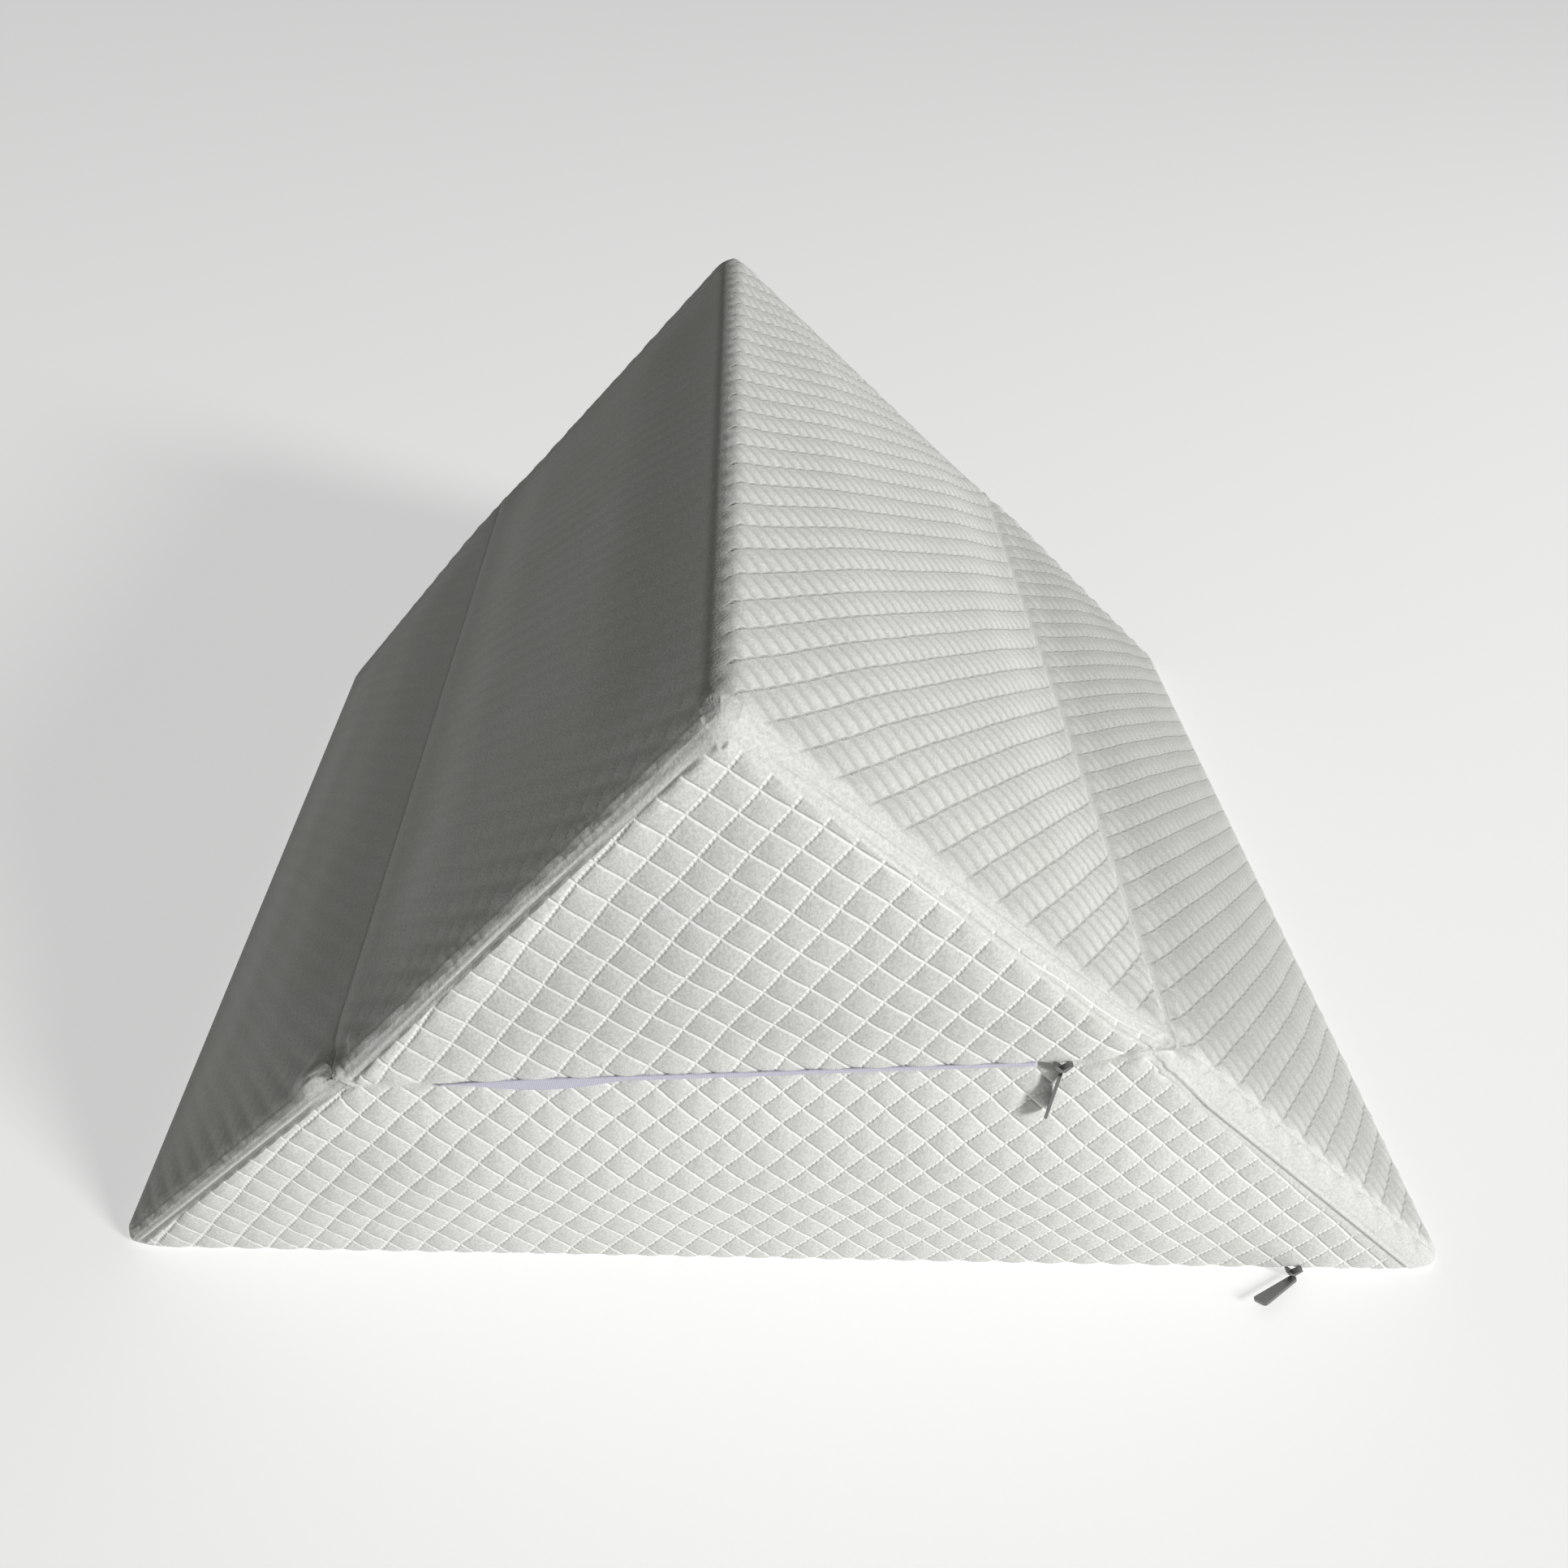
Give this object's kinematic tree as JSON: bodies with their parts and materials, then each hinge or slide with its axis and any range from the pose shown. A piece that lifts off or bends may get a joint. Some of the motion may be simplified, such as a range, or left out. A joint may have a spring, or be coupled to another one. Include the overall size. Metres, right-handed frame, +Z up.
{
  "type": "wedge pillow",
  "caption": "Triangular foam wedge pillow: a ridged upper cushion resting on a trapezoid lower one, in white diamond-quilted zip covers.",
  "frame": {"origin": "middle of the flat base, where the pillow rests", "axes": "+X to the right across the ends, +Y away from the zipped end, +Z up from the base to the ridge"},
  "size_m": [0.6127, 0.5487, 0.3055],
  "materials": {
    "quilted_knit": "matte white knit, quilted in small diamonds",
    "zip_tape": "lilac-white woven tape",
    "zip_metal": "polished nickel plate"
  },
  "bodies": {
    "root": {"upper_cushion": "quilted_knit", "lower_cushion": "quilted_knit", "upper_zip_tape": "zip_tape", "upper_zip_slider": "zip_metal", "upper_zip_pull": "zip_metal", "lower_zip_slider": "zip_metal", "lower_zip_pull": "zip_metal"}
  },
  "joints": []
}
